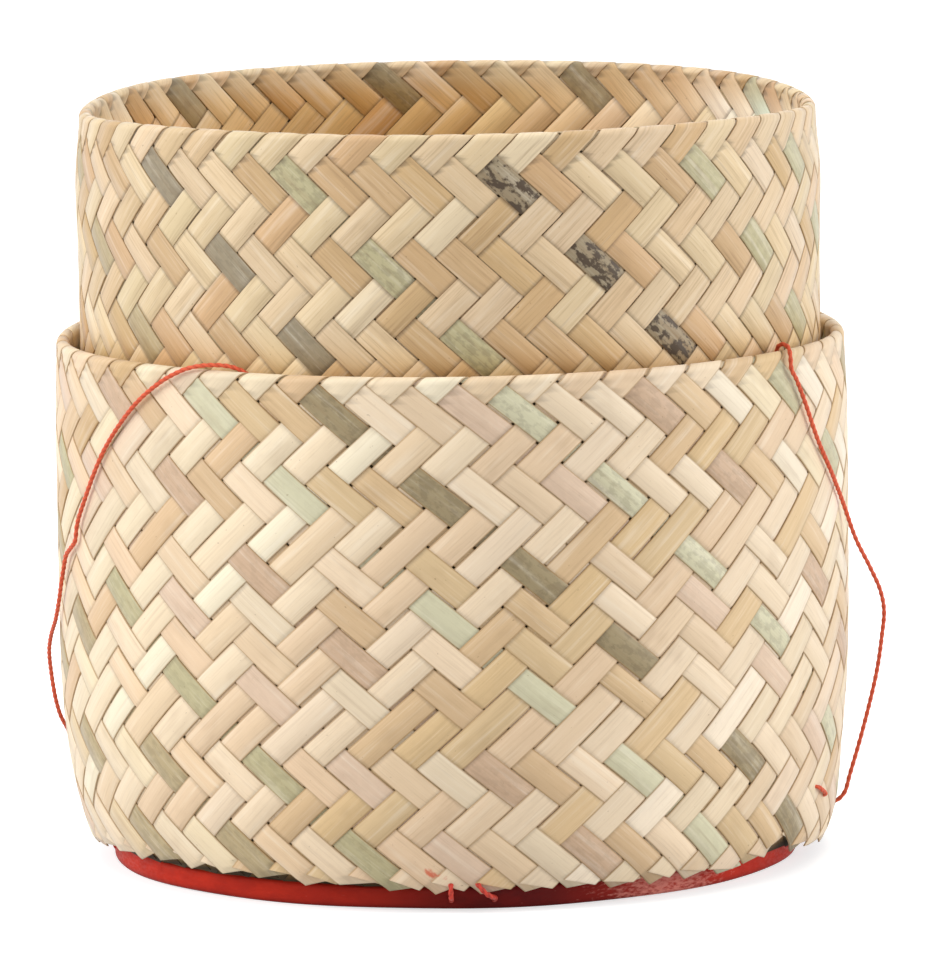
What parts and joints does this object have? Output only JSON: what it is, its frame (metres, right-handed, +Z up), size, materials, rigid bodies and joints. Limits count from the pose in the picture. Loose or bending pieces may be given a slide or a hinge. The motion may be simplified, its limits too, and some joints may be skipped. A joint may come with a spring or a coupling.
{
  "type": "woven sticky rice box",
  "caption": "Round lidded box for sticky rice, woven from split bamboo, its narrower half nested in the wider one, with a red foot hoop and a thin red carrying cord.",
  "frame": {"origin": "centre of the foot hoop's underside, on the surface that the box stands on", "axes": "+Z up along the axis of both halves, -Y to the front, where the cord's loop hangs in the gap between the halves"},
  "size_m": [0.1254, 0.1182, 0.1135],
  "materials": {
    "outer_weave": "dry split bamboo, satin",
    "inner_weave": "dry split bamboo, satin",
    "red_hoop": "thin red paint on bent cane",
    "red_thread": "twisted cotton thread"
  },
  "bodies": {
    "wider_half": {"outer_wall": "outer_weave", "outer_bottom_mat": "outer_weave", "outer_foot_hoop": "red_hoop", "outer_lashing_1": "red_thread", "outer_lashing_2": "red_thread", "outer_lashing_3": "red_thread", "outer_lashing_4": "red_thread", "carry_cord": "red_thread", "cord_knot_left": "red_thread", "cord_knot_right": "red_thread", "cord_stitch_left": "red_thread", "cord_stitch_right": "red_thread"},
    "narrower_half": {"inner_wall": "inner_weave", "inner_bottom_mat": "inner_weave", "inner_foot_hoop": "red_hoop", "inner_lashing_1": "red_thread", "inner_lashing_2": "red_thread", "inner_lashing_3": "red_thread", "inner_lashing_4": "red_thread"}
  },
  "joints": [
    {"name": "lift_out", "type": "slide", "parent": "wider_half", "child": "narrower_half", "axis": [0, 0, 1], "range_m": [0, 0.08]}
  ]
}
